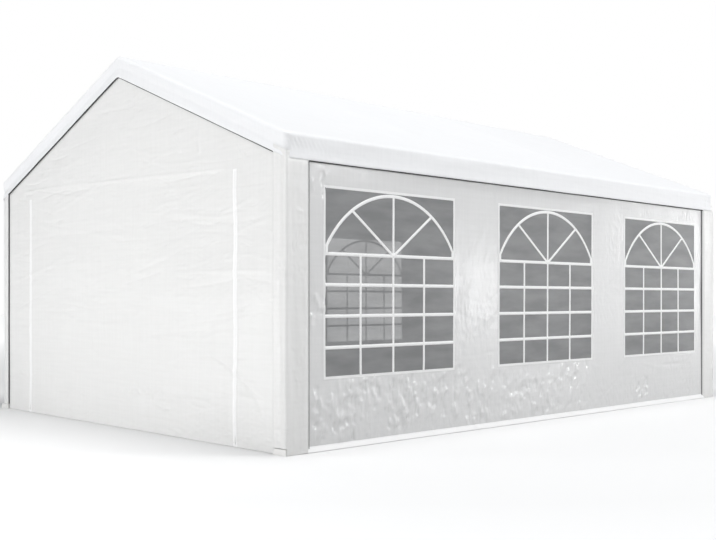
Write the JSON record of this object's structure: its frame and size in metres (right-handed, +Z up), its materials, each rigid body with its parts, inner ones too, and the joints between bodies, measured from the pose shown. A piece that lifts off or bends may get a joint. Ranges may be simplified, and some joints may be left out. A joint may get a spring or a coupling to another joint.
{
  "type": "marquee tent",
  "caption": "White gable marquee on a plug-in steel tube frame, with roof cover, corner covers, side walls with film windows, and zipped doors in both gable walls.",
  "frame": {"origin": "centre of the footprint, on the ground", "axes": "+Z up, Y along the ridge with the front gable at -Y, X across the span with the right side at +X"},
  "size_m": [4, 6, 2.95],
  "materials": {
    "roof_cloth": "white coated polyethylene tarpaulin, satin",
    "wall_cloth": "white woven polyethylene tarpaulin, creased, slightly glossy",
    "window_film": "clear grey plastic film with white printed bars",
    "steel": "white powder coat",
    "connector": "white powder coat, satin"
  },
  "bodies": {
    "root": {"leg_front_left": "steel", "leg_front_right": "steel", "leg_mid_front_left": "steel", "leg_mid_front_right": "steel", "leg_mid_back_left": "steel", "leg_mid_back_right": "steel", "leg_back_left": "steel", "leg_back_right": "steel", "rafter_front_left": "steel", "rafter_front_right": "steel", "rafter_mid_front_left": "steel", "rafter_mid_front_right": "steel", "rafter_mid_back_left": "steel", "rafter_mid_back_right": "steel", "rafter_back_left": "steel", "rafter_back_right": "steel", "ridge_tube_front": "steel", "eave_tube_front_left": "steel", "eave_tube_front_right": "steel", "ridge_tube_middle": "steel", "eave_tube_middle_left": "steel", "eave_tube_middle_right": "steel", "ridge_tube_back": "steel", "eave_tube_back_left": "steel", "eave_tube_back_right": "steel", "ridge_connector_front": "connector", "eave_connector_front_left": "connector", "eave_connector_front_right": "connector", "ridge_connector_mid_front": "connector", "eave_connector_mid_front_left": "connector", "eave_connector_mid_front_right": "connector", "ridge_connector_mid_back": "connector", "eave_connector_mid_back_left": "connector", "eave_connector_mid_back_right": "connector", "ridge_connector_back": "connector", "eave_connector_back_left": "connector", "eave_connector_back_right": "connector", "roof_cover": "roof_cloth", "corner_cover_front_left": "wall_cloth", "corner_cover_front_right": "wall_cloth", "corner_cover_back_left": "wall_cloth", "corner_cover_back_right": "wall_cloth", "front_wall": "wall_cloth", "front_door": "wall_cloth", "back_wall": "wall_cloth", "back_door": "wall_cloth", "left_wall": "wall_cloth", "window_front_left": "window_film", "window_middle_left": "window_film", "window_back_left": "window_film", "right_wall": "wall_cloth", "window_front_right": "window_film", "window_middle_right": "window_film", "window_back_right": "window_film"}
  },
  "joints": []
}
